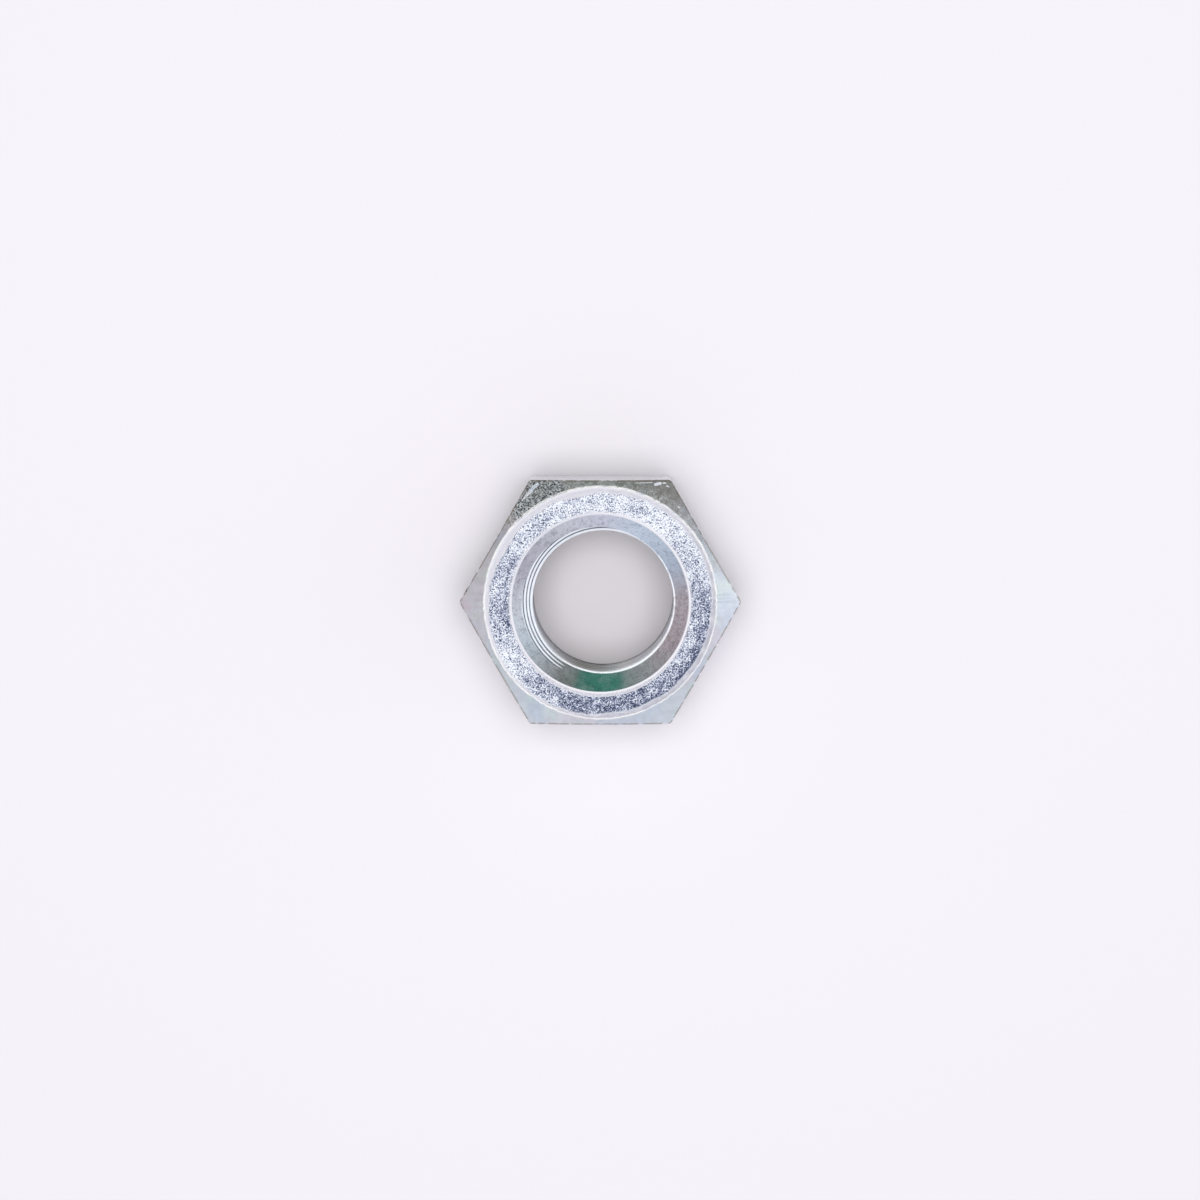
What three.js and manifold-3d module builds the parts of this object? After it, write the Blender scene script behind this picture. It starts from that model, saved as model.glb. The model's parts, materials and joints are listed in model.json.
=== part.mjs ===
// Hex nut with a metric coarse right-hand thread, M16 x 2, chamfered and countersunk on both faces.
// Millimetres, +Z up. The thread's axis is Z, the lower bearing face lies at z = 0, two opposite
// corners point along +X and -X, and two opposite flats face +Y and -Y.
import * as THREE from 'three';
import { mergeVertices } from 'three/addons/utils/BufferGeometryUtils.js';
import Module from 'manifold-3d';

const wasm = await Module();
wasm.setup();

const { degToRad } = THREE.MathUtils;

// Driving dimensions
const acrossFlats = 24;
const height = 13;
const threadDiameter = 16;
const pitch = 2;
const bearingDiameter = 22.8;        // flat ring left on each face by the corner chamfer
const countersinkDiameter = 17.5;    // mouth of the countersink on each face
const faceSlope = Math.tan(degToRad(30)); // chamfer and countersink both rise 30 degrees from the face
const threadStart = degToRad(-119);  // where the top countersink meets the thread's first upper flank

// Basic 60 degree thread form, from the fundamental triangle
const flankSlope = Math.tan(degToRad(30));
const triangleHeight = pitch / 2 / flankSlope;
const majorRadius = threadDiameter / 2;
const minorRadius = majorRadius - triangleHeight * 5 / 8;
const crestHalfWidth = pitch / 8;    // half of the flat at the minor diameter
const rootHalfWidth = pitch / 16;    // half of the flat at the major diameter

// Fineness of the facets
const turnedSides = 96;
const threadSides = 48;
const overrun = 1;                   // how far a cutting shape runs past the nut

const cornerRadius = acrossFlats / Math.sqrt(3);

// A closed geometry as a manifold solid: only position is kept, shared vertices are merged,
// and triangles that have shrunk to a line on the axis are dropped.
function solidFrom(geometry) {
  const bare = new THREE.BufferGeometry();
  bare.setAttribute('position', geometry.getAttribute('position'));
  bare.setIndex(geometry.getIndex());
  const merged = mergeVertices(bare, 1e-5);
  const index = merged.getIndex().array;
  const triangles = [];
  for (let i = 0; i < index.length; i += 3) {
    const [a, b, c] = [index[i], index[i + 1], index[i + 2]];
    if (a !== b && b !== c && c !== a) triangles.push(a, b, c);
  }
  return new wasm.Manifold(new wasm.Mesh({
    numProp: 3,
    vertProperties: new Float32Array(merged.getAttribute('position').array),
    triVerts: new Uint32Array(triangles),
  }));
}

// A profile of [radius, z] points, from the axis round to the axis, turned about Z.
function turned(profile) {
  const points = profile.map(([radius, z]) => new THREE.Vector2(radius, z));
  return new THREE.LatheGeometry(points, turnedSides).rotateX(Math.PI / 2);
}

// The hexagonal bar that the nut is cut from, with corners on +X and -X.
function hexBar() {
  const outline = new THREE.Shape();
  for (let corner = 0; corner < 6; corner++) {
    const angle = corner * Math.PI / 3;
    const [x, y] = [cornerRadius * Math.cos(angle), cornerRadius * Math.sin(angle)];
    if (corner === 0) outline.moveTo(x, y);
    else outline.lineTo(x, y);
  }
  outline.closePath();
  return new THREE.ExtrudeGeometry(outline, { depth: height, bevelEnabled: false });
}

// The double cone that leaves a round bearing face and chamfers the six corners at each end.
function chamferEnvelope() {
  const bearingRadius = bearingDiameter / 2;
  const outerRadius = cornerRadius + overrun;
  const drop = (outerRadius - bearingRadius) * faceSlope;
  return turned([
    [0, 0],
    [bearingRadius, 0],
    [outerRadius, drop],
    [outerRadius, height - drop],
    [bearingRadius, height],
    [0, height],
  ]);
}

// The pilot hole with a countersink at each end. The pilot is a little under the minor radius,
// so that the thread's own crests are the narrowest part of the bore.
function countersunkPilot() {
  const pilotRadius = minorRadius - 0.1;
  const mouthRadius = countersinkDiameter / 2;
  const coneDepth = (mouthRadius - pilotRadius) * faceSlope;
  const flareRadius = mouthRadius + overrun / faceSlope;
  return turned([
    [0, -overrun],
    [flareRadius, -overrun],
    [pilotRadius, coneDepth],
    [pilotRadius, height - coneDepth],
    [flareRadius, height + overrun],
    [0, height + overrun],
  ]);
}

// The screw-shaped core that the tap clears. Each row of vertices follows the right-hand helix
// z = rowHeight + pitch * turn, so the seam at a full turn meets the row one pitch higher.
// Each end is closed by a fan from a point on the axis, well clear of the nut.
function tapCore() {
  const form = [
    [-crestHalfWidth, minorRadius],
    [crestHalfWidth, minorRadius],
    [pitch / 2 - rootHalfWidth, majorRadius],
    [pitch / 2 + rootHalfWidth, majorRadius],
  ];
  const coneDepthAtCrest = (countersinkDiameter / 2 - minorRadius) * faceSlope;
  const startHeight = height - coneDepthAtCrest - crestHalfWidth;
  const turnsBelow = Math.ceil(startHeight / pitch) + 2;
  const turns = turnsBelow + 2;
  const lastRow = turns * form.length;
  const columns = threadSides + 1;

  const positions = [];
  for (let row = 0; row <= lastRow; row++) {
    const [offset, radius] = form[row % form.length];
    const rowHeight = startHeight + offset + (Math.floor(row / form.length) - turnsBelow) * pitch;
    for (let side = 0; side <= threadSides; side++) {
      const turn = side / threadSides;
      const angle = threadStart + turn * 2 * Math.PI;
      positions.push(radius * Math.cos(angle), radius * Math.sin(angle), rowHeight + pitch * turn);
    }
  }
  const lowPoint = (lastRow + 1) * columns;
  const highPoint = lowPoint + 1;
  positions.push(0, 0, startHeight - (turnsBelow + 1) * pitch);
  positions.push(0, 0, startHeight + (turns - turnsBelow + 2) * pitch);

  const vertex = (row, side) => row * columns + side;
  const index = [];
  for (let row = 0; row < lastRow; row++) {
    for (let side = 0; side < threadSides; side++) {
      index.push(vertex(row, side), vertex(row, side + 1), vertex(row + 1, side + 1));
      index.push(vertex(row, side), vertex(row + 1, side + 1), vertex(row + 1, side));
    }
  }
  for (let side = 0; side < threadSides; side++) {
    index.push(lowPoint, vertex(0, side + 1), vertex(0, side));
    index.push(highPoint, vertex(lastRow, side), vertex(lastRow, side + 1));
  }
  for (let step = 0; step < form.length; step++) {
    index.push(lowPoint, vertex(step, 0), vertex(step + 1, 0));
    const row = lastRow - form.length + step;
    index.push(highPoint, vertex(row + 1, threadSides), vertex(row, threadSides));
  }

  const geometry = new THREE.BufferGeometry();
  geometry.setAttribute('position', new THREE.Float32BufferAttribute(positions, 3));
  geometry.setIndex(index);
  return geometry;
}

// The nut's one solid body: hexagonal bar, chamfered, drilled, countersunk and tapped.
function nutGeometry() {
  const body = solidFrom(hexBar())
    .intersect(solidFrom(chamferEnvelope()))
    .subtract(solidFrom(countersunkPilot()))
    .subtract(solidFrom(tapCore()));
  const { vertProperties, triVerts } = body.getMesh();
  const geometry = new THREE.BufferGeometry();
  geometry.setAttribute('position', new THREE.BufferAttribute(vertProperties, 3));
  geometry.setIndex(new THREE.BufferAttribute(triVerts, 1));
  geometry.computeVertexNormals();
  return geometry;
}

const zincPlatedSteel = new THREE.MeshStandardMaterial({
  color: 0xc6ccd8,
  metalness: 1,
  roughness: 0.3,
});

const hexNut = new THREE.Mesh(nutGeometry(), zincPlatedSteel);
hexNut.name = 'hex_nut';

const group = new THREE.Group();
group.add(hexNut);

export default group;
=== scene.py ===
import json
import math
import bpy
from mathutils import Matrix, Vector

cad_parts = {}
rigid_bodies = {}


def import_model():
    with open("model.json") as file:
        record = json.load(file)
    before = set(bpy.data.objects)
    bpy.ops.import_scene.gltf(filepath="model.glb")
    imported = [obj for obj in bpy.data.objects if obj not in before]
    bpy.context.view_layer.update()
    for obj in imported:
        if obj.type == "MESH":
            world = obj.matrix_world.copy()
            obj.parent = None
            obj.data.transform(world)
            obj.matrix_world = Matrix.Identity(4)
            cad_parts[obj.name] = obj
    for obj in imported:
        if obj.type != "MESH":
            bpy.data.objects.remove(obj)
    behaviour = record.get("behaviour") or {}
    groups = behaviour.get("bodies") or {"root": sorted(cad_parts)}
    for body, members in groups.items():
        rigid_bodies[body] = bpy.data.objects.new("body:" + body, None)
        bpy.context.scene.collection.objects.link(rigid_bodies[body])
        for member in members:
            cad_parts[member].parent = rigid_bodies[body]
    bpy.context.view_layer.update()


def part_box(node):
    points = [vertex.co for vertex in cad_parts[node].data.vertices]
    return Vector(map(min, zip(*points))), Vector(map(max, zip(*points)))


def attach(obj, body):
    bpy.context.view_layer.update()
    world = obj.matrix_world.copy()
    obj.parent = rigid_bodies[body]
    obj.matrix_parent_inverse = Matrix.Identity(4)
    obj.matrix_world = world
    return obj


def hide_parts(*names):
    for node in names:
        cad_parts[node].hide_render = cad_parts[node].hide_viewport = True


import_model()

# A zinc plated M16 hexagon nut, lying on a pale board and seen from above.
# The nut's shape is worked out in millimetres and written to its mesh in metres.

from types import SimpleNamespace

import bmesh
import bpy
import numpy as np

mm = 0.001
nutLow, nutHigh = (np.array(corner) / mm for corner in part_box("hex_nut"))
scene = bpy.context.scene
scene.view_settings.view_transform = "Standard"
print("frame loaded, nut box", nutLow.round(3), nutHigh.round(3))


# camera
view = {
    "distance": 520.0,         # mm from the top face
    "towardsBack": 3.7,        # degrees off the vertical, towards +Y
    "frameWidth": 117.4,       # mm across the view at the top face
    "aim": (-0.025, 0.29),     # mm from the nut's axis to the middle of the view
    "sensor": 36.0,
    "clip": (0.01, 10.0),      # metres
}


def makeCamera(s):
    camera = bpy.data.objects.new("camera", bpy.data.cameras.new("camera"))
    scene.collection.objects.link(camera)
    camera.data.sensor_width = s["sensor"]
    camera.data.lens = s["sensor"] * s["distance"] / s["frameWidth"]
    camera.data.clip_start, camera.data.clip_end = s["clip"]
    tilt = math.radians(s["towardsBack"])
    x, y = s["aim"]
    camera.location = (
        x * mm,
        (y + s["distance"] * math.sin(tilt)) * mm,
        (nutHigh[2] + s["distance"] * math.cos(tilt)) * mm,
    )
    camera.rotation_euler = (-tilt, 0.0, 0.0)
    scene.camera = camera


makeCamera(view)
print("camera placed")


# shader wiring
class Wire:
    # one output socket; + - * / ** and abs() on it add Math nodes, node() adds any other node
    def __init__(self, tree, end=None):
        self.tree = tree
        self.end = end

    def node(self, kind, settings=None, inputs=None, out=0):
        made = self.tree.nodes.new(kind)
        for name, value in (settings or {}).items():
            if name == "stops":
                setStops(made.color_ramp, value)
            else:
                setattr(made, name, value)
        for name, value in (inputs or {}).items():
            if isinstance(value, Wire):
                self.tree.links.new(value.end, made.inputs[name])
            else:
                made.inputs[name].default_value = value
        return Wire(self.tree, made.outputs[out])

    def math(self, operation, *values, clamp=False):
        settings = {"operation": operation, "use_clamp": clamp}
        return self.node("ShaderNodeMath", settings, dict(enumerate(values)))

    def __add__(self, other):
        return self.math("ADD", self, other)

    def __radd__(self, other):
        return self.math("ADD", other, self)

    def __sub__(self, other):
        return self.math("SUBTRACT", self, other)

    def __rsub__(self, other):
        return self.math("SUBTRACT", other, self)

    def __mul__(self, other):
        return self.math("MULTIPLY", self, other)

    def __rmul__(self, other):
        return self.math("MULTIPLY", other, self)

    def __truediv__(self, other):
        return self.math("DIVIDE", self, other)

    def __rtruediv__(self, other):
        return self.math("DIVIDE", other, self)

    def __pow__(self, other):
        return self.math("POWER", self, other)

    def __abs__(self):
        return self.math("ABSOLUTE", self)

    def between(self, low, high):  # from low where this is 0 to high where it is 1
        return self * (high - low) + low

    def split(self):  # a vector's X, Y and Z
        made = self.node("ShaderNodeSeparateXYZ", {}, {"Vector": self}).end.node
        return [Wire(self.tree, made.outputs[name]) for name in ("X", "Y", "Z")]

    def smooth(self, low, high):  # 0 below low, 1 above high, eased between
        inputs = {"Value": self, "From Min": low, "From Max": high}
        return self.node("ShaderNodeMapRange", {"interpolation_type": "SMOOTHSTEP"}, inputs)

    def noise(self, scale, detail=2.0, roughness=0.5, stretch=(1.0, 1.0, 1.0), shift=(0.0, 0.0, 0.0)):
        placed = self.node("ShaderNodeMapping", {}, {"Vector": self, "Scale": stretch, "Location": shift})
        inputs = {"Vector": placed, "Scale": scale, "Detail": detail, "Roughness": roughness}
        return self.node("ShaderNodeTexNoise", {}, inputs)

    def mixColour(self, first, second, blend="MIX"):  # this is the share of the second colour
        settings = {"data_type": "RGBA", "blend_type": blend}
        return self.node("ShaderNodeMix", settings, {"Factor": self, 6: first, 7: second}, out=2)


def setStops(ramp, stops):
    while len(ramp.elements) < len(stops):
        ramp.elements.new(1.0)
    for element, (position, colour) in zip(ramp.elements, stops):
        element.position = position
        element.color = (*colour, 1.0)


def linear(red, green, blue):  # a colour on the 0 to 255 screen scale, as linear light
    share = np.array([red, green, blue]) / 255
    return tuple(np.where(share <= 0.04045, share / 12.92, ((share + 0.055) / 1.055) ** 2.4).tolist())


def opaque(shade):  # a screen colour in the form that a socket takes
    return (*linear(*shade), 1.0)


def turnOf(x, y):  # share of a turn, clockwise from 0 at -Y: 0.25 at -X, 0.5 at +Y, 0.75 at +X
    return x.math("ARCTAN2", x, y) / (2 * math.pi) + 0.5


# surroundings
studio = {
    "strength": 0.86,
    "boardShare": 0.65,        # how much of it the board receives, which the soft box lights as well
    "backdrop": (240, 239, 244),
    "overhead": (252, 253, 255),
    "overheadGain": 1.4,
    # a dimmer patch overhead: the unit direction's X and Y at its middle, and how far from it it fades
    "zenithPatch": {"towards": (0.10, -0.16), "fade": (0.119, 0.204), "colour": (224, 227, 236)},
    "bandTop": (0.64, 0.88),   # heights of the unit direction between which the overhead light takes over
    # what stands round the board, clockwise from -Y by way of -X
    "band": [
        (0.00, (206, 206, 216)),
        (0.08, (202, 208, 216)),
        (0.17, (192, 196, 204)),
        (0.25, (194, 188, 196)),
        (0.33, (172, 168, 174)),
        (0.42, (126, 129, 132)),
        (0.50, (118, 126, 123)),
        (0.58, (116, 119, 119)),
        (0.67, (190, 196, 204)),
        (0.75, (233, 237, 244)),
        (0.83, (200, 202, 214)),
        (0.92, (202, 208, 218)),
        (1.00, (206, 206, 216)),
    ],
    # a green card on the +Y side: how far it reaches to either side, as a share of the turn, and the
    # heights of the unit direction at its lower and upper edge, each with its fade
    "greenCard": {
        "side": (0.04, 0.06),
        "low": (0.32, 0.36),
        "high": (0.66, 0.7),
        "colour": (60, 114, 102),
    },
    "metal": 0.68,             # the share that the plating reflects, by which the band is divided
}


def lightWorld(s):
    world = bpy.data.worlds.new("studio")
    scene.world = world
    world.use_nodes = True
    tree = world.node_tree
    tree.nodes.clear()
    start = Wire(tree)
    x, y, z = start.node("ShaderNodeTexCoord", out="Generated").split()

    def reflected(shade):
        return tuple(light / s["metal"] for light in linear(*shade))

    turn = turnOf(x, y)
    stops = [(position, reflected(shade)) for position, shade in s["band"]]
    band = turn.node("ShaderNodeValToRGB", {"stops": stops}, {"Fac": turn})
    card = s["greenCard"]
    across = 1 - abs(turn - 0.5).smooth(*card["side"])
    upright = z.smooth(*card["low"]) * (1 - z.smooth(*card["high"]))
    band = (across * upright).mixColour(band, (*reflected(card["colour"]), 1.0))

    patch = s["zenithPatch"]
    dx = x - patch["towards"][0]
    dy = y - patch["towards"][1]
    away = (dx * dx + dy * dy) ** 0.5
    inPatch = (1 - away.smooth(*patch["fade"])) * z.smooth(0.0, 0.1)
    bright = tuple(light * s["overheadGain"] for light in linear(*s["overhead"]))
    overhead = inPatch.mixColour((*bright, 1.0), opaque(patch["colour"]))
    whole = z.smooth(*s["bandTop"]).mixColour(band, overhead)

    seenPlain = start.node("ShaderNodeLightPath", out="Is Camera Ray")
    colour = seenPlain.mixColour(whole, opaque(s["backdrop"]))
    onBoard = start.node("ShaderNodeLightPath", out="Is Diffuse Ray")
    strength = (1 - onBoard * (1 - s["boardShare"])) * s["strength"]
    lit = colour.node("ShaderNodeBackground", {}, {"Color": colour, "Strength": strength})
    end = tree.nodes.new("ShaderNodeOutputWorld")
    tree.links.new(lit.end, end.inputs["Surface"])


lightWorld(studio)

lamp = {"size": 320.0, "height": 620.0, "towards": (0.0, 0.04), "watts": 2.3}


def hangLamp(s):  # a square soft box overhead, which lights the board and the bottom of the hole
    data = bpy.data.lights.new("soft_box", "AREA")
    data.size = s["size"] * mm
    data.energy = s["watts"]
    box = bpy.data.objects.new("soft_box", data)
    box.visible_glossy = False
    scene.collection.objects.link(box)
    x, y = s["towards"]
    box.location = (x * s["height"] * mm, y * s["height"] * mm, s["height"] * mm)
    box.rotation_euler = (math.atan(y), -math.atan(x), 0.0)


hangLamp(lamp)

board = {"halfSide": 900.0, "colour": (238, 233, 237), "roughness": 0.55}


def makeBoard(s):
    half = s["halfSide"] * mm
    mesh = bpy.data.meshes.new("board")
    corners = [(-half, -half, 0.0), (half, -half, 0.0), (half, half, 0.0), (-half, half, 0.0)]
    mesh.from_pydata(corners, [], [(0, 1, 2, 3)])
    floor = bpy.data.objects.new("board", mesh)
    scene.collection.objects.link(floor)
    material = bpy.data.materials.new("board_white")
    material.use_nodes = True
    shader = material.node_tree.nodes["Principled BSDF"]
    shader.inputs["Base Color"].default_value = opaque(s["colour"])
    shader.inputs["Roughness"].default_value = s["roughness"]
    shader.inputs["Specular IOR Level"].default_value = 0.0
    mesh.materials.append(material)


makeBoard(board)
print("studio lit, board laid")


# the nut's shape
nut = {
    "acrossFlats": nutHigh[1] - nutLow[1],
    "height": nutHigh[2] - nutLow[2],
    "threadDiameter": 16.0,
    "pitch": 2.0,
    "threadStart": math.radians(-94),     # where the top countersink meets the first upper flank
    "threadEase": 0.035,                  # how softly crests and roots turn into flanks
    "bearingDiameter": 22.8,
    "countersinkDiameter": 17.5,
    "slope": math.tan(math.radians(30)),  # of chamfers and countersinks, from the face
    "cornerRound": 0.42,                  # radius of the six upright corners
    "boreRunOut": (0.29, 0.08),           # the tapped hole sits a little off the hexagon's middle
    "sinkRunOut": (-0.3, -0.11),          # and the countersinks a little off the tapped hole
    "mouthRound": 0.17,                   # how far each edge's rounding reaches along the surface
    "rimRound": 0.15,
    "flatRound": 0.1,
    "rimWave": 0.08,                      # how far the bearing face's rim wanders in and out
    "burr": 0.045,                        # height of what the tap raised along the crests' upper edges
    "burrReach": 0.06,
    "burrStarts": (2.0, 4.0),             # heights where there is none yet and where it is full
    "sharpFrom": 34.0,                    # degrees between two faces above which their edge stays sharp
    "columns": 300,
    "crowding": 0.6,                      # draws columns together towards the corners
    "arcRows": 4,
    "straightRows": [1, 10, 8, 14, 8, 10, 1],
    "mergeWithin": 0.001,
    "sliver": 0.002,
    # how far from its middle line or its surface each share is still full and where it ends
    "innerRimShare": (0.075, 0.225),
    "outerRimShare": (0.03, 0.13),
    "faceShare": (0.0, 0.03),
    "sinkShare": (0.0, 0.05),
}


def fadeOut(distance, reach):  # 1 up to the first distance, 0 from the second
    full, none = reach
    return np.clip((none - distance) / (none - full), 0, 1)


def columnAngles(s):
    # angle = t - crowding / 6 * sin(6 t), t even round the circle: columns are closest at the corners
    t = np.linspace(0, 2 * math.pi, s["columns"] + 1)
    return t - s["crowding"] / 6 * np.sin(6 * t)


def hexagonRadius(angle, s):
    # distance from the axis to a hexagon with round corners: apothem / cos(angle from the flat's normal),
    # and within a corner the far side of a circle of the corner's radius
    apothem = s["acrossFlats"] / 2
    fromCorner = np.abs((angle + math.pi / 6) % (math.pi / 3) - math.pi / 6)
    fromFlat = math.pi / 6 - fromCorner
    middle = (apothem - s["cornerRound"]) / math.cos(math.pi / 6)
    tangent = math.pi / 6 - math.atan(middle * 0.5 / apothem)
    inside = np.maximum(s["cornerRound"] ** 2 - (middle * np.sin(fromCorner)) ** 2, 0)
    rounded = middle * np.cos(fromCorner) + np.sqrt(inside)
    return np.where(fromCorner < tangent, rounded, apothem / np.cos(fromFlat))


def threadForm(s):
    # half of one thread, from the middle of a ridge to the middle of the next groove, as distances along
    # the axis, closest together at the edges of the crest and root
    half = s["pitch"] / 2
    rising = [0, 0.16, 0.22, 0.25, 0.265, 0.28, 0.3, 0.33, 0.38, 0.48, 0.6, 0.72, 0.8, 0.85, 0.9, 1.0]
    falling = [1.1, 1.2, 1.5, 1.7, 1.76, 1.84]
    return np.array(rising + falling) * half


def threadRadius(along, s):
    # 60 degree thread: the ridge's crest is flat for a quarter of the pitch and the root for an eighth,
    # flanks rise at 30 degrees between them; corners are eased by blending over a short reach
    flank = math.tan(math.radians(30))
    depth = s["pitch"] / 2 / flank * 5 / 8
    minor = s["threadDiameter"] / 2 - depth
    fromRidge = np.abs((along + s["pitch"] / 2) % s["pitch"] - s["pitch"] / 2)
    climb = (fromRidge - s["pitch"] / 8) / flank
    ease = s["threadEase"]
    low = (climb + np.sqrt(climb ** 2 + ease ** 2)) / 2
    return minor + depth - ((depth - low) + np.sqrt((depth - low) ** 2 + ease ** 2)) / 2


def sinkRadius(size, angle, s):
    # distance, from the tapped hole's axis, to a circle of this radius about the countersink's own axis:
    # e.u + sqrt(size^2 - (e x u)^2), e the offset between the axes and u the direction of the angle; where
    # the cone is past its tip, size and root both count as 0
    x, y = s["sinkRunOut"]
    along = x * np.cos(angle) + y * np.sin(angle)
    aside = x * np.sin(angle) - y * np.cos(angle)
    return along + np.sqrt(np.maximum(np.maximum(size, 0) ** 2 - aside ** 2, 0))


def boreGrid(angle, s):
    # rows climb with the right-hand helix z = row + pitch * turn; radius = the largest of the thread and
    # the two countersink cones. Rows past a countersink's mouth close up on its rim.
    mouth = s["countersinkDiameter"] / 2
    pitch = s["pitch"]
    flankTop = (mouth - threadRadius(np.zeros(1), s)[0]) * s["slope"]
    startHeight = s["height"] - flankTop - pitch / 8
    turns = np.arange(-math.ceil(startHeight / pitch) - 2, 2)
    rows = (turns[:, None] * pitch + threadForm(s)[None, :]).ravel() + startHeight
    helix = pitch * (angle[None, :] - s["threadStart"]) / (2 * math.pi)
    z = rows[:, None] + helix

    drop = s["mouthRound"] * math.sin(math.atan(s["slope"]))

    def thread(height):
        return threadRadius(height - startHeight - helix, s)

    def cones(height):
        fromFace = np.minimum(height, s["height"] - height)
        return sinkRadius(mouth - fromFace / s["slope"], angle[None, :], s)

    near = 0.06                     # rows this close to a rim are drawn onto it
    z = np.where(z < drop + near, drop, z)
    z = np.where(z > s["height"] - drop - near, s["height"] - drop, z)
    gap = thread(z) - cones(z)
    crosses = gap[:-1] * gap[1:] < 0
    share = np.where(crosses, gap[:-1] / np.where(crosses, gap[:-1] - gap[1:], 1), 0)
    crossing = z[:-1] + share * (z[1:] - z[:-1])
    z[:-1] = np.where(crosses & (share < 0.5), crossing, z[:-1])
    z[1:] = np.where(crosses & (share >= 0.5), crossing, z[1:])
    radius = np.maximum(thread(z), cones(z))

    # everything near the smallest radius is raised by burr * exp(-(distance from it / reach)^2)
    beyond = (radius - threadRadius(np.zeros(1), s)[0]) / s["burrReach"]
    raised = s["burr"] * np.exp(-beyond ** 2)
    return radius, z + raised * (1 - fadeOut(z, s["burrStarts"]))


def wander(angle):
    # a curve between about -1 and 1 that closes on itself: sines of 17 to 127 waves round the circle, each
    # with its own fixed phase
    waves = np.array([17, 29, 41, 59, 71, 83, 97, 109, 127])
    phases = np.random.default_rng(7).uniform(0, 2 * math.pi, len(waves))
    return np.sin(waves[:, None] * angle[None, :] + phases[:, None]).mean(axis=0) * 1.6


def easedPath(corners, reaches, straightRows, arcRows):
    # a path through corner points, one path for each column: straight rows between corners, and at each
    # inner corner a curve (1-u)^2 before + 2u(1-u) corner + u^2 after, over that corner's reach
    def towards(a, b, reach):
        length = np.linalg.norm(b - a, axis=-1, keepdims=True)
        return a + (b - a) * np.minimum(reach / length, 0.45)

    path = [corners[0][None]]
    last = corners[0]
    bends = zip(corners, corners[1:], corners[2:], reaches, straightRows)
    for before, corner, after, reach, rows in bends:
        enter = towards(corner, before, reach)
        leave = towards(corner, after, reach)
        t = np.linspace(0, 1, rows + 1)[1:, None, None]
        path.append(last + (enter - last) * t)
        u = np.linspace(0, 1, arcRows + 1)[1:, None, None]
        path.append((1 - u) ** 2 * enter + 2 * u * (1 - u) * corner + u ** 2 * leave)
        last = leave
    t = np.linspace(0, 1, straightRows[-1] + 1)[1:, None, None]
    path.append(last + (corners[-1] - last) * t)
    return np.concatenate(path)


def outerGrid(angle, s):
    # from the top countersink's rim out over the bearing face, down the chamfer, the flat and the lower
    # chamfer, and in over the lower bearing face to the lower countersink's rim
    top = s["height"]
    ones = np.ones_like(angle)
    mouthSize = s["countersinkDiameter"] / 2
    reach = s["mouthRound"]
    fall = reach * math.sin(math.atan(s["slope"]))
    mouth = sinkRadius(mouthSize, angle, s)
    rimStart = sinkRadius(mouthSize - fall / s["slope"], angle, s)
    outside = hexagonRadius(angle, s)
    rim = s["bearingDiameter"] / 2 + s["rimWave"] * wander(angle)
    chamferDrop = (outside - s["bearingDiameter"] / 2) * s["slope"]

    def point(radius, height):
        return np.stack([radius, height * ones], axis=-1)

    corners = [
        point(rimStart, top - fall),
        point(mouth, top),
        point(rim, top),
        point(outside, top - chamferDrop),
        point(outside, chamferDrop),
        point(rim, 0),
        point(mouth, 0),
        point(rimStart, fall),
    ]
    reaches = [reach, s["rimRound"], s["flatRound"], s["flatRound"], s["rimRound"], reach]
    path = easedPath(corners, reaches, s["straightRows"], s["arcRows"])

    # the tapped hole's run-out holds on the rows of the mouth's rounding, and fades over the face's rows
    rimRows, faceRows = s["straightRows"][:2]
    first = rimRows + s["arcRows"] + 1
    holds = np.zeros(len(path))
    holds[:first] = 1
    holds[first - 1:first + faceRows] = np.linspace(1, 0, faceRows + 1)
    holds = np.maximum(holds, holds[::-1])
    return path[..., 0], path[..., 1], holds


def faceShares(radius, height, angle, s):
    # on the bearing faces: how far in from the outer rim, in mm up to 2.5, how far out from the inner rim,
    # in mm up to 1, and 1 along the two rims' roundings
    rim = s["bearingDiameter"] / 2
    mouth = sinkRadius(s["countersinkDiameter"] / 2, angle, s)
    level = fadeOut(np.minimum(height, s["height"] - height), s["faceShare"])
    return {
        "fromOuterRim": np.clip(rim - radius, 0, 2.5) * level,
        "fromInnerRim": np.clip(radius - mouth, 0, 1) * level,
        "innerRim": fadeOut(np.abs(radius - mouth - 0.02), s["innerRimShare"]),
        "outerRim": fadeOut(np.abs(radius - rim), s["outerRimShare"]),
    }


def boreShares(radius, height, angle, s):
    # how far up its flank each point of the thread lies, 0 on the crest and 1 in the root, and 1 on the
    # countersinks and 0 on the thread
    minor = threadRadius(np.zeros(1), s)[0]
    major = s["threadDiameter"] / 2
    fromFace = np.minimum(height, s["height"] - height)
    cone = sinkRadius(s["countersinkDiameter"] / 2 - fromFace / s["slope"], angle[None, :], s)
    return np.clip((radius - minor) / (major - minor), 0, 1), fadeOut(radius - cone, s["sinkShare"])


def gridFaces(rows, columns, start):
    # two triangles for each cell of a grid of vertices numbered along its rows, split along one diagonal
    row, column = np.meshgrid(np.arange(rows - 1), np.arange(columns - 1), indexing="ij")
    a = (start + row * columns + column).ravel()
    b = a + 1
    c = a + columns
    d = c + 1
    return np.concatenate([np.stack([a, b, c], 1), np.stack([b, d, c], 1)])


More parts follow.
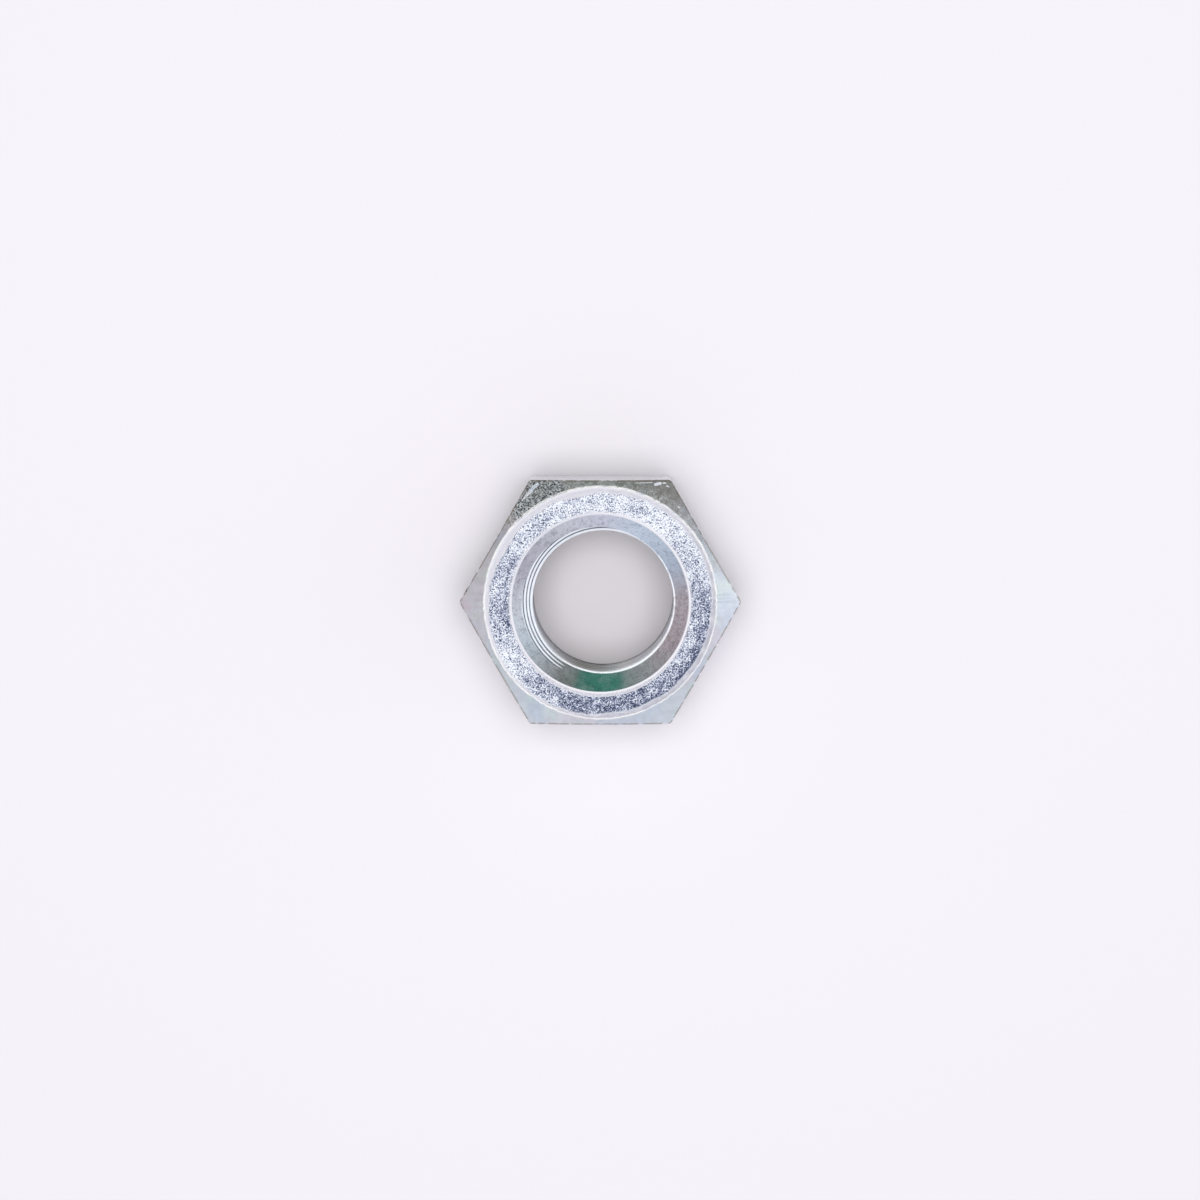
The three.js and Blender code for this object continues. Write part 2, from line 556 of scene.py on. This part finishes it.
def buildNut(s):
    angle = columnAngles(s)
    shiftX, shiftY = s["boreRunOut"]
    boreRadius, boreHeight = boreGrid(angle, s)
    radius, height, holds = outerGrid(angle, s)

    def place(r, z, weight):
        x = r * np.cos(angle) + shiftX * weight
        y = r * np.sin(angle) + shiftY * weight
        return np.stack([x, y, z], axis=-1).reshape(-1, 3) * mm

    bore = place(boreRadius, boreHeight, 1.0)
    outer = place(radius, height, holds[:, None])
    columns = len(angle)
    faces = np.concatenate([
        gridFaces(len(boreRadius), columns, 0),
        gridFaces(len(radius), columns, len(bore)),
    ])
    mesh = bpy.data.meshes.new("nut_body")
    mesh.from_pydata(np.concatenate([bore, outer]), [], faces.tolist())

    climb, inSink = boreShares(boreRadius, boreHeight, angle, s)
    none = np.zeros_like(boreRadius)
    shares = {name: (none, share) for name, share in faceShares(radius, height, angle, s).items()}
    shares["inBore"] = (np.ones_like(boreRadius), np.zeros_like(radius))
    shares["inSink"] = (inSink, np.zeros_like(radius))
    shares["climb"] = (climb, np.ones_like(radius))
    for name, (inside, outside) in shares.items():
        values = np.concatenate([inside.ravel(), outside.ravel()])
        mesh.attributes.new(name, "FLOAT", "POINT").data.foreach_set("value", values)

    work = bmesh.new()
    work.from_mesh(mesh)
    bmesh.ops.remove_doubles(work, verts=work.verts, dist=s["mergeWithin"] * mm)
    bmesh.ops.dissolve_degenerate(work, edges=work.edges, dist=s["sliver"] * mm)
    bmesh.ops.recalc_face_normals(work, faces=work.faces)
    work.to_mesh(mesh)
    openEdges = sum(not edge.is_manifold for edge in work.edges)
    volume = work.calc_volume() / mm ** 3
    print(f"nut body: {len(work.faces)} triangles, {openEdges} open edges, {volume:.1f} mm3")
    work.free()
    mesh.polygons.foreach_set("use_smooth", np.ones(len(mesh.polygons), dtype=bool))
    mesh.set_sharp_from_angle(angle=math.radians(s["sharpFrom"]))
    body = bpy.data.objects.new("nut_body", mesh)
    scene.collection.objects.link(body)
    return body


nutBody = buildNut(nut)
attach(nutBody, "root")
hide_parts("hex_nut")


# zinc plating
zinc = {
    # patterns made from noise: scale per mm, detail, roughness, shift, and the two levels of the noise
    # between which the pattern goes from 0 to 1
    "patterns": {
        "blue": (0.22, 2.0, 0.5, (0.0, 0.0, 0.0), (0.4, 0.6)),
        "pink": (0.3, 2.0, 0.5, (31.0, 7.0, 3.0), (0.48, 0.68)),
        "green": (0.35, 2.0, 0.5, (5.0, 43.0, 11.0), (0.52, 0.7)),
        "cloud": (1.3, 4.0, 0.65, (4.0, 2.0, 6.0), (0.3, 0.7)),
        "blotch": (1.7, 4.0, 0.7, (9.0, 4.0, 1.0), (0.5, 0.66)),
        "speck": (7.0, 2.0, 0.6, (2.0, 4.0, 8.0), (0.46, 0.62)),
        "spots": (2.6, 4.0, 0.75, (3.0, 8.0, 5.0), (0.47, 0.6)),
        "flecks": (4.2, 3.0, 0.7, (1.0, 5.0, 9.0), (0.6, 0.66)),
        "glint": (0.9, 3.0, 0.7, (6.0, 1.0, 3.0), (0.42, 0.58)),
        "uneven": (0.9, 3.0, 0.6, (1.0, 1.0, 17.0), (0.35, 0.7)),
    },
    # and plain noises, scale per mm
    "noises": {
        "patches": {"scale": 0.5, "detail": 3.0, "roughness": 0.6, "shift": (13.0, 2.0, 0.0)},
        "streaks": {"scale": 1.6, "detail": 3.0, "roughness": 0.6},
        "pits": {"scale": 5.5, "detail": 3.0, "roughness": 0.75, "shift": (4.0, 4.0, 4.0)},
        "waves": {"scale": 1.4, "detail": 2.0, "roughness": 0.5, "shift": (3.0, 3.0, 3.0)},
        "drawn": {"scale": 2.6, "detail": 3.0, "roughness": 0.6, "stretch": (1.0, 1.0, 0.08)},
    },
    "filmAndPaintedLight": {
        "bright": (230, 231, 232),
        "tints": [                    # the passivation film's faint colours: pattern, share and colour
            ("blue", 1.0, (219, 224, 231)),
            ("pink", 0.8, (233, 226, 229)),
            ("green", 0.7, (220, 230, 224)),
        ],
        # its colour round the countersinks, clockwise from -Y by way of -X: painted reflection and shade,
        # lighter and darker by the turn
        "sinkPaintedLight": [
            (0.0, (230, 239, 239)),
            (0.09, (227, 228, 229)),
            (0.17, (222, 229, 234)),
            (0.25, (199, 200, 205)),
            (0.33, (204, 200, 205)),
            (0.42, (222, 219, 222)),
            (0.5, (224, 225, 234)),
            (0.58, (222, 231, 242)),
            (0.67, (207, 216, 229)),
            (0.735, (203, 199, 202)),
            (0.83, (216, 210, 211)),
            (0.93, (236, 244, 242)),
            (1.0, (230, 239, 239)),
        ],
        # and round the thread, by the same turn: painted shade where it faces +Y, with a painted highlight
        # beside it
        "thread": [
            (0.0, (188, 189, 187)),
            (0.05, (178, 176, 172)),
            (0.09, (212, 214, 218)),
            (0.13, (240, 243, 248)),
            (0.9, (240, 243, 248)),
            (0.945, (255, 255, 255)),
            (0.97, (222, 226, 228)),
            (1.0, (188, 189, 187)),
        ],
        # painted shade that darkens the thread further down the hole: full below the first height, in mm,
        # and gone at the second
        "deepThreadShade": {"heights": (7.5, 11.5), "share": 0.85, "colour": (182, 180, 180)},
        "cloud": {"share": 0.14, "colour": (150, 150, 152)},
        "sinkMottle": {"blotch": 0.32, "speck": 0.18, "colour": (138, 132, 138)},
    },
    # the part of the upper countersink with a painted reflection of brownish spots and pale flecks, as
    # shares of the turn, where it comes in and goes out
    "sinkReflection": {
        "comesIn": (0.71, 0.74),
        "goesOut": (0.86, 0.9),
        "share": 0.3,
        "spots": (158, 124, 122),
        "flecks": (250, 248, 252),
    },
    # the lip where the upper countersink runs into the hole, raised in the relief and with a painted
    # highlight along it:
    # mm out from the smallest radius, the share of that up to which it is full, how much flatter than the
    # countersink it lies, and the least and most that its colour shows
    "lip": {"reach": 0.17, "full": 0.7, "flatter": 0.2, "shown": (0.35, 0.8), "colour": (244, 248, 254)},
    "rims": {
        "band": (222, 220, 227),      # smooth ring between the grain and the outer rim
        # the outer and inner rims' colours are painted highlights along their rounded edges
        "outer": (246, 243, 238),
        "outerHighlightShown": (0.1, 0.8),
        "inner": (232, 230, 235),
        "innerHighlightShown": 0.8,
    },
    # crystalline grain of the pressed bearing faces
    "grain": {
        "size": 0.14,                 # mm
        "lightness": 1.25,
        "contrast": 7.0,
        "patches": 0.7,               # how much lighter and darker the grain's patches are
        "longPatches": 1.6,           # and those that lie round the axis
        "longScale": (7.0, 1.5),      # of those, round the axis and outwards
        "deepPits": 0.75,             # how much darker its few deep pits are
        "paintedShadeDepth": 0.95,              # how much darker the most shaded part is than a bright one, in painted shade
        "roughness": 0.3,
        "depth": 0.75,
        "colours": [                  # from a dark pit to a bright facet
            (0.0, (58, 66, 90)),
            (0.22, (104, 112, 138)),
            (0.5, (170, 176, 198)),
            (0.75, (214, 219, 234)),
            (1.0, (250, 252, 255)),
        ],
        # how much painted shade darkens the face, clockwise from -Y by way of -X
        "dull": [
            (0.0, 0.92),
            (0.08, 0.72),
            (0.16, 0.36),
            (0.25, 0.69),
            (0.33, 0.52),
            (0.42, 0.4),
            (0.5, 0.37),
            (0.6, 0.4),
            (0.68, 0.5),
            (0.75, 0.78),
            (0.83, 0.8),
            (0.92, 0.86),
            (1.0, 0.92),
        ],
        # parts of the face, as shares of the turn, where the grain is darker from one radius to another
        "shadows": [
            {"turn": (0.8, 0.93), "radius": (9.9, 10.8), "depth": 0.28},
            {"turn": (0.76, 0.88), "radius": (10.2, 9.2), "depth": -0.14},
            {"turn": (0.92, 0.98), "radius": (9.5, 9.0), "depth": 0.25},
            {"turn": (0.2, 0.3), "radius": (10.1, 9.3), "depth": 0.2},
            {"turn": (0.3, 0.45), "radius": (10.1, 10.9), "depth": 0.1},
            {"turn": (0.48, 0.62), "radius": (9.9, 9.2), "depth": -0.12},
        ],
        "shadowFade": (0.05, 0.02),   # how far outside and inside its ends a shadow fades
        # mm in from the outer rim and out from the inner one, where the grain starts and where it is full
        "outerBorder": (0.44, 0.68),
        "innerBorder": (0.06, 0.2),
        # what makes the borders ragged: shares of the fine noise and of the patches, and mm at each border,
        # with more where the grain stops short
        "ragged": {"fine": 0.3, "patches": 0.5, "outer": 1.3, "short": 5.0, "inner": 0.3},
        # sides where a border moves: which way they lie, where it starts to move and where it has moved in
        # full, as a share of the radius for the first and in mm for the others, and by how many mm
        "stopsShort": {"towards": (-0.6, 0.8), "across": (0.35, 0.95), "by": 0.15},
        "runsOut": {"towards": (-0.8, -0.6), "across": (4.0, 10.5), "by": 0.22},
        "leavesRim": {"towards": (0.0, -1.0), "across": (3.0, 8.5), "by": 0.3},
    },
    # the upper chamfer on the +Y side, which is dull from a line across it, where y + x * lean is this many
    # mm, and full a little further on; it is brighter at its +X end and shaded along its outer edge
    "dullChamfer": {
        "from": 4.8,
        "lean": 0.2,
        "reach": 1.3,
        "ragged": 2.0,
        "brighter": {"x": (7.0, 10.5), "share": 0.6},
        "shaded": {"radius": (11.8, 12.8), "x": (-4.0, 6.0), "share": 0.6},
        "levels": (0.5, 0.68),
        "roughness": 0.42,
        "depth": 0.7,
        "dark": (164, 157, 153),
        "pale": (238, 236, 234),
    },
    # and its corner that the forging left pitted
    "pitted": {
        "at": (-6.3, 10.3),
        "reach": 3.2,
        "full": 0.8,                  # share of the reach
        "levels": (0.45, 0.57),
        "roughness": 0.42,
        "depth": 1.6,
        "dark": (66, 70, 70),
        "pale": (236, 240, 240),
    },
    "chamferEnds": (0.05, 0.75),      # mm below its edge where its dull and pitted parts fade
    # the edges between chamfers and flats: mm from the edge where the wear starts to fade and where it ends
    "wornEdge": {"fade": (0.06, 0.2), "share": 0.75, "colour": (150, 142, 130)},
    # dents, nicks and a scratch, whose light colours are painted highlights where they catch the light, and
    # one dark nick:
    # two ends, half width in mm at each, colour, and how steeply each is tipped towards the left of the way
    # from the first end to the second
    "marks": [
        ((-7.6, 10.05), (-6.8, 11.0), (0.07, 0.2), (255, 255, 255), 0.5),
        ((-6.8, 11.0), (-6.1, 11.68), (0.22, 0.09), (240, 249, 255), 0.5),
        ((5.42, 11.6), (5.9, 11.68), (0.15, 0.12), (250, 252, 255), 0.5),
        ((6.18, 11.7), (6.42, 11.68), (0.08, 0.05), (250, 252, 255), 0.4),
        ((6.52, 11.4), (6.74, 11.34), (0.06, 0.05), (240, 242, 242), 0.4),
        ((3.4, 11.72), (5.1, 11.76), (0.03, 0.05), (226, 230, 230), 0.3),
        ((7.66, 9.4), (7.8, 9.3), (0.08, 0.05), (240, 242, 242), 0.3),
        ((-13.05, 1.5), (-13.2, 1.1), (0.1, 0.1), (92, 88, 84), 0.0),
        ((2.9, -9.2), (3.2, -8.7), (0.07, 0.07), (252, 252, 255), 0.0),
    ],
    "smoothRoughness": (0.12, 0.26),
    "threadRoughness": 0.28,
    # height of the relief in mm, the parts of it, and how many tool marks climb each flank of the thread
    "relief": {"mm": 0.03, "waves": 0.15, "drawn": 0.5, "toolMarks": 0.8, "marksToFlank": 3.5},
}


def colourRamp(value, stops):
    settings = {"stops": [(position, linear(*shade)) for position, shade in stops]}
    return value.node("ShaderNodeValToRGB", settings, {"Fac": value})


def levelRamp(value, stops):
    settings = {"stops": [(position, (level, level, level)) for position, level in stops]}
    return value.node("ShaderNodeValToRGB", settings, {"Fac": value})


def readPlaces(tree, shape):
    # what the finishes need to know about a point: its place in mm, and its share of each part of the nut
    at = SimpleNamespace(start=Wire(tree))
    metres = at.start.node("ShaderNodeTexCoord", out="Object")
    at.place = metres.node("ShaderNodeVectorMath", {"operation": "SCALE"}, {0: metres, "Scale": 1 / mm})
    at.x, at.y, at.z = at.place.split()
    at.turn = turnOf(at.x, at.y)
    at.radius = (at.x * at.x + at.y * at.y) ** 0.5

    def share(name):
        return at.start.node("ShaderNodeAttribute", {"attribute_name": name}, out="Fac")

    at.inBore, at.inSink, at.climb = share("inBore"), share("inSink"), share("climb")
    at.innerRim, at.outerRim = share("innerRim"), share("outerRim")
    at.fromOuterRim, at.fromInnerRim = share("fromOuterRim"), share("fromInnerRim")
    at.onThread = at.inBore * (1 - at.inSink)
    at.onFace = at.fromOuterRim.smooth(0.0, 0.1)
    at.upper = at.z.smooth(6.0, 7.0)          # 1 on the nut's upper half

    # mm below the edge of the chamfer: height under the face - (radius - rim) * slope, 0 on the chamfer;
    # the edge lies where that is 0 and the largest of the three distances across is half the width
    halfHeight = float(shape["height"]) / 2
    fromFace = halfHeight - abs(at.z - halfHeight)
    at.below = fromFace - (at.radius - shape["bearingDiameter"] / 2) * shape["slope"]
    across = abs(at.y)
    for side in (math.cos(math.pi / 6), -math.cos(math.pi / 6)):
        across = across.math("MAXIMUM", across, abs(at.x * side + at.y * 0.5))
    inwards = float(shape["acrossFlats"]) / 2 - across
    at.fromEdge = (inwards ** 2 + at.below ** 2) ** 0.5
    return at


def addPatterns(at, s):
    # the named patterns and noises, patches that are lighter or darker than 0, and the grain's fine noise
    # with its short strokes along X and along Y
    at.pattern = {}
    for name, (scale, detail, roughness, shift, levels) in s["patterns"].items():
        at.pattern[name] = at.place.noise(scale, detail, roughness, shift=shift).smooth(*levels)
    at.noise = {name: at.place.noise(**settings) for name, settings in s["noises"].items()}
    at.patchy = at.noise["patches"] - 0.5
    size = s["grain"]["size"]
    strokeScale = 0.75 / size
    at.fine = at.place.noise(1 / size, 3.0, 0.72)
    at.strokesX = at.place.noise(strokeScale, 2.0, 0.6, stretch=(1.0, 3.0, 1.0), shift=(2.0, 9.0, 0.0))
    at.strokesY = at.place.noise(strokeScale, 2.0, 0.6, stretch=(3.0, 1.0, 1.0), shift=(8.0, 1.0, 0.0))


def towards(at, direction):  # mm from the axis that way
    return at.x * direction[0] + at.y * direction[1]


# the passivation film's colours, with painted reflection, highlight and shade on the countersinks and the
# thread
def paintFilmAndLight(at, s):
    filmAndPaintedLight = opaque(s["bright"])
    for name, share, tint in s["tints"]:
        filmAndPaintedLight = (at.pattern[name] * share).mixColour(filmAndPaintedLight, opaque(tint))
    # painted reflection and shade round the countersinks, by the turn round the axis
    filmAndPaintedLight = at.inSink.mixColour(filmAndPaintedLight, colourRamp(at.turn, s["sinkPaintedLight"]))
    # painted shade and highlight round the thread, by the turn round the axis
    filmAndPaintedLight = at.onThread.mixColour(filmAndPaintedLight, colourRamp(at.turn, s["thread"]))

    # painted shade, darker further down the hole
    deep = s["deepThreadShade"]
    down = at.onThread * (1 - at.z.smooth(*deep["heights"])) * deep["share"]
    filmAndPaintedLight = down.mixColour(filmAndPaintedLight, opaque(deep["colour"]), "MULTIPLY")
    cloud = s["cloud"]
    filmAndPaintedLight = (at.pattern["cloud"] * cloud["share"]).mixColour(filmAndPaintedLight, opaque(cloud["colour"]), "MULTIPLY")
    mottle = s["sinkMottle"]
    mottled = at.pattern["blotch"] * mottle["blotch"] + at.pattern["speck"] * mottle["speck"]
    return (at.inSink * mottled).mixColour(filmAndPaintedLight, opaque(mottle["colour"]), "MULTIPLY")


def paintSinkReflection(at, base, s):
    # painted reflection: brownish spots and pale flecks on the upper countersink towards +X
    inReflection = at.turn.smooth(*s["comesIn"]) * (1 - at.turn.smooth(*s["goesOut"])) * at.upper * at.inSink
    spots = inReflection * at.pattern["spots"] * s["share"]
    flecks = inReflection * at.pattern["flecks"] * s["share"]
    return flecks.mixColour(spots.mixColour(base, opaque(s["spots"]), "MULTIPLY"), opaque(s["flecks"]))


def lipShares(at, s, shape):
    # where the lip's painted highlight shows, and its rise, from 0 at its outer border to 1 at the hole
    holeX, holeY = shape["boreRunOut"]
    crestRadius = float(threadRadius(np.zeros(1), shape)[0])
    fromHole = ((at.x - holeX) ** 2 + (at.y - holeY) ** 2) ** 0.5 - crestRadius
    onSink = at.inSink * at.upper
    shows = (1 - fromHole.smooth(s["reach"] * s["full"], s["reach"])) * onSink
    rise = at.start.math("MULTIPLY", s["reach"] - fromHole, 1 / s["reach"], clamp=True) * onSink
    return shows, rise


def grainColour(at, s):
    # lightness = a level + contrast * (noise - 0.5) - painted shade round the face + patches - painted
    # shadows - pits
    grain = at.fine * 0.5 + at.strokesX * 0.25 + at.strokesY * 0.25
    around, outwards = s["longScale"]
    unrolled = {0: at.x / at.radius * around, 1: at.y / at.radius * around, 2: at.radius * outwards}
    lengthwise = at.start.node("ShaderNodeCombineXYZ", {}, unrolled).noise(1.0, 3.0, 0.65) - 0.5
    # painted shade: darker in some stretches round the axis than in others
    light = (grain - 0.5) * s["contrast"] + s["lightness"] - levelRamp(at.turn, s["dull"]) * s["paintedShadeDepth"]
    light = light + at.patchy * s["patches"] + lengthwise * s["longPatches"]
    outside, inside = s["shadowFade"]
    for shadow in s["shadows"]:
        first, last = shadow["turn"]
        begun = at.turn.smooth(first - outside, first + inside)
        ended = at.turn.smooth(last - inside, last + outside)
        light = light - begun * (1 - ended) * at.radius.smooth(*shadow["radius"]) * shadow["depth"]
    pits = at.place.noise(0.95 / s["size"], 1.0, 0.6, shift=(7.0, 7.0, 0.0)).smooth(0.56, 0.64)
    return colourRamp(light - pits * s["deepPits"], s["colours"])


def grainShare(at, s):
    # 1 where the face is grained: between ragged borders along the two rims
    ragged, short, out, leaves = (s[name] for name in ("ragged", "stopsShort", "runsOut", "leavesRim"))
    waver = (at.fine - 0.5) * ragged["fine"] + at.patchy * ragged["patches"]
    worn = (towards(at, short["towards"]) / at.radius).smooth(*short["across"]) * short["by"]
    further = towards(at, out["towards"]).smooth(*out["across"]) * out["by"]
    wider = towards(at, leaves["towards"]).smooth(*leaves["across"]) * leaves["by"]
    fromOuter = at.fromOuterRim - worn + further + waver * (ragged["outer"] + worn * ragged["short"])
    fromInner = at.fromInnerRim - wider + waver * ragged["inner"]
    return fromOuter.smooth(*s["outerBorder"]) * fromInner.smooth(*s["innerBorder"])


def faceColour(at, base, grained, s):
    rims = s["rims"]
    base = (at.onFace * (1 - grained)).mixColour(base, opaque(rims["band"]))
    base = grained.mixColour(base, grainColour(at, s["grain"]))
    # painted highlights along the outer and inner rims
    shown = at.pattern["glint"].between(*rims["outerHighlightShown"])
    base = (at.outerRim * shown).mixColour(base, opaque(rims["outer"]))
    return (at.innerRim * rims["innerHighlightShown"]).mixColour(base, opaque(rims["inner"]))


def chamferShares(at, s):
    # 1 on the dull part of the upper chamfer, and 1 at its pitted corner
    dull, pitted = s["dullChamfer"], s["pitted"]
    aboveFlat = 1 - (at.below + at.patchy * 1.5).smooth(*s["chamferEnds"])
    onChamfer = (1 - at.inBore) * (1 - at.onFace) * (1 - at.outerRim) * at.upper * aboveFlat
    behind = at.y + at.x * dull["lean"] + at.patchy * dull["ragged"] - dull["from"]
    brighter = at.x.smooth(*dull["brighter"]["x"]) * dull["brighter"]["share"]
    isDull = behind.smooth(0.0, dull["reach"]) * onChamfer * (1 - brighter)
    x, y = pitted["at"]
    away = ((at.x - x) ** 2 + (at.y - y) ** 2) ** 0.5 + at.patchy
    isPitted = (1 - away.smooth(pitted["reach"] * pitted["full"], pitted["reach"])) * onChamfer
    return isDull, isPitted


def chamferColour(at, base, isDull, isPitted, s):
    dull, pitted = s["dullChamfer"], s["pitted"]
    streaks = at.fine * 0.5 + at.strokesY * 0.3 + at.noise["streaks"] * 0.35
    edge = dull["shaded"]
    shaded = at.radius.smooth(*edge["radius"]) * at.x.smooth(*edge["x"]) * edge["share"]
    light = streaks.smooth(*dull["levels"]) * (1 - shaded)
    base = isDull.mixColour(base, light.mixColour(opaque(dull["dark"]), opaque(dull["pale"])))
    pits = at.noise["pits"] * 0.7 + at.strokesX * 0.3
    light = pits.smooth(*pitted["levels"])
    return isPitted.mixColour(base, light.mixColour(opaque(pitted["dark"]), opaque(pitted["pale"])))


def wearEdges(at, base, s):
    near = (1 - at.fromEdge.smooth(*s["fade"])) * (1 - at.inBore)
    patches = at.pattern["cloud"].smooth(0.1, 0.5)
    return (near * patches * s["share"]).mixColour(base, opaque(s["colour"]))


def addNicksAndHighlights(at, base, marks, relief):
    # distance from a mark's middle line / its half width there, made ragged by noise: up to about 1 the
    # mark's colour shows, and its surface is raised by (distance to the left + half width) * steepness
    onTop = at.upper * (1 - at.below.smooth(0.0, 0.15))
    flecked = at.strokesY.smooth(0.36, 0.5).between(0.4, 1.0)
    tipped = 0.0
    for (x0, y0), (x1, y1), (startWidth, endWidth), shade, steepness in marks:
        length = math.hypot(x1 - x0, y1 - y0)
        alongX, alongY = (x1 - x0) / length, (y1 - y0) / length
        along = (at.x - x0) * alongX + (at.y - y0) * alongY
        aside = (at.y - y0) * alongX - (at.x - x0) * alongY
        beyond = along.math("MAXIMUM", abs(along - length / 2) - length / 2, 0.0)
        reached = along.math("DIVIDE", along, length, clamp=True)
        halfWidth = reached.between(startWidth, endWidth)
        distance = ((aside ** 2 + beyond ** 2) ** 0.5) / halfWidth + (at.fine - 0.5) * 2.4
        within = (1 - distance.smooth(0.7, 1.3)) * onTop * flecked
        # the mark's colour: a painted highlight for the light ones
        base = within.mixColour(base, opaque(shade))
        if steepness:
            tipped = tipped + within * (aside + halfWidth) * (steepness / relief)
    return base, tipped


def makeZinc(s, shape):
    material = bpy.data.materials.new("zinc_plating")
    material.use_nodes = True
    tree = material.node_tree
    shader = tree.nodes["Principled BSDF"]
    shader.inputs["Metallic"].default_value = 1.0
    grain, lip, relief = s["grain"], s["lip"], s["relief"]

    at = readPlaces(tree, shape)
    addPatterns(at, s)
    grained = grainShare(at, grain)
    isDull, isPitted = chamferShares(at, s)
    lipHighlight, lipRise = lipShares(at, lip, shape)

    base = paintSinkReflection(at, paintFilmAndLight(at, s["filmAndPaintedLight"]), s["sinkReflection"])
    # painted highlight along the lip, broken up by the glint pattern
    base = (lipHighlight * at.pattern["glint"].between(*lip["shown"])).mixColour(base, opaque(lip["colour"]))
    base = faceColour(at, base, grained, s)
    base = chamferColour(at, base, isDull, isPitted, s)
    base = wearEdges(at, base, s["wornEdge"])
    base, tipped = addNicksAndHighlights(at, base, s["marks"], relief["mm"])

    rough = at.pattern["uneven"].between(*s["smoothRoughness"])
    for where, value in [
        (grained, grain["roughness"]),
        (at.onThread, s["threadRoughness"]),
        (isDull, s["dullChamfer"]["roughness"]),
        (isPitted, s["pitted"]["roughness"]),
    ]:
        rough = rough * (1 - where) + where * value

    # relief: grain where the surface is grained, dull or pitted, soft waves all over, lines drawn down the
    # flats, tool marks along the thread's flanks, the tipped marks and the lip
    deep = grained * grain["depth"] + isDull * s["dullChamfer"]["depth"] + isPitted * s["pitted"]["depth"]
    height = (at.fine * 0.7 + at.strokesX * 0.5 + at.strokesY * 0.5) * deep
    drawn = at.noise["drawn"] * at.below.smooth(0.2, 0.8) * (1 - at.inBore)
    toolMarks = at.start.math("SINE", at.climb * (2 * math.pi * relief["marksToFlank"])) * at.onThread
    height = height + at.noise["waves"] * relief["waves"] + drawn * relief["drawn"]
    height = height + toolMarks * relief["toolMarks"] + tipped
    height = height + lipRise * (lip["reach"] * lip["flatter"] / relief["mm"])
    inputs = {"Height": height, "Strength": 1.0, "Distance": relief["mm"] * mm}
    bump = at.start.node("ShaderNodeBump", {}, inputs)

    for socket, wire in [("Base Color", base), ("Roughness", rough), ("Normal", bump)]:
        tree.links.new(wire.end, shader.inputs[socket])
    return material


nutBody.data.materials.append(makeZinc(zinc, nut))
print("plating made")
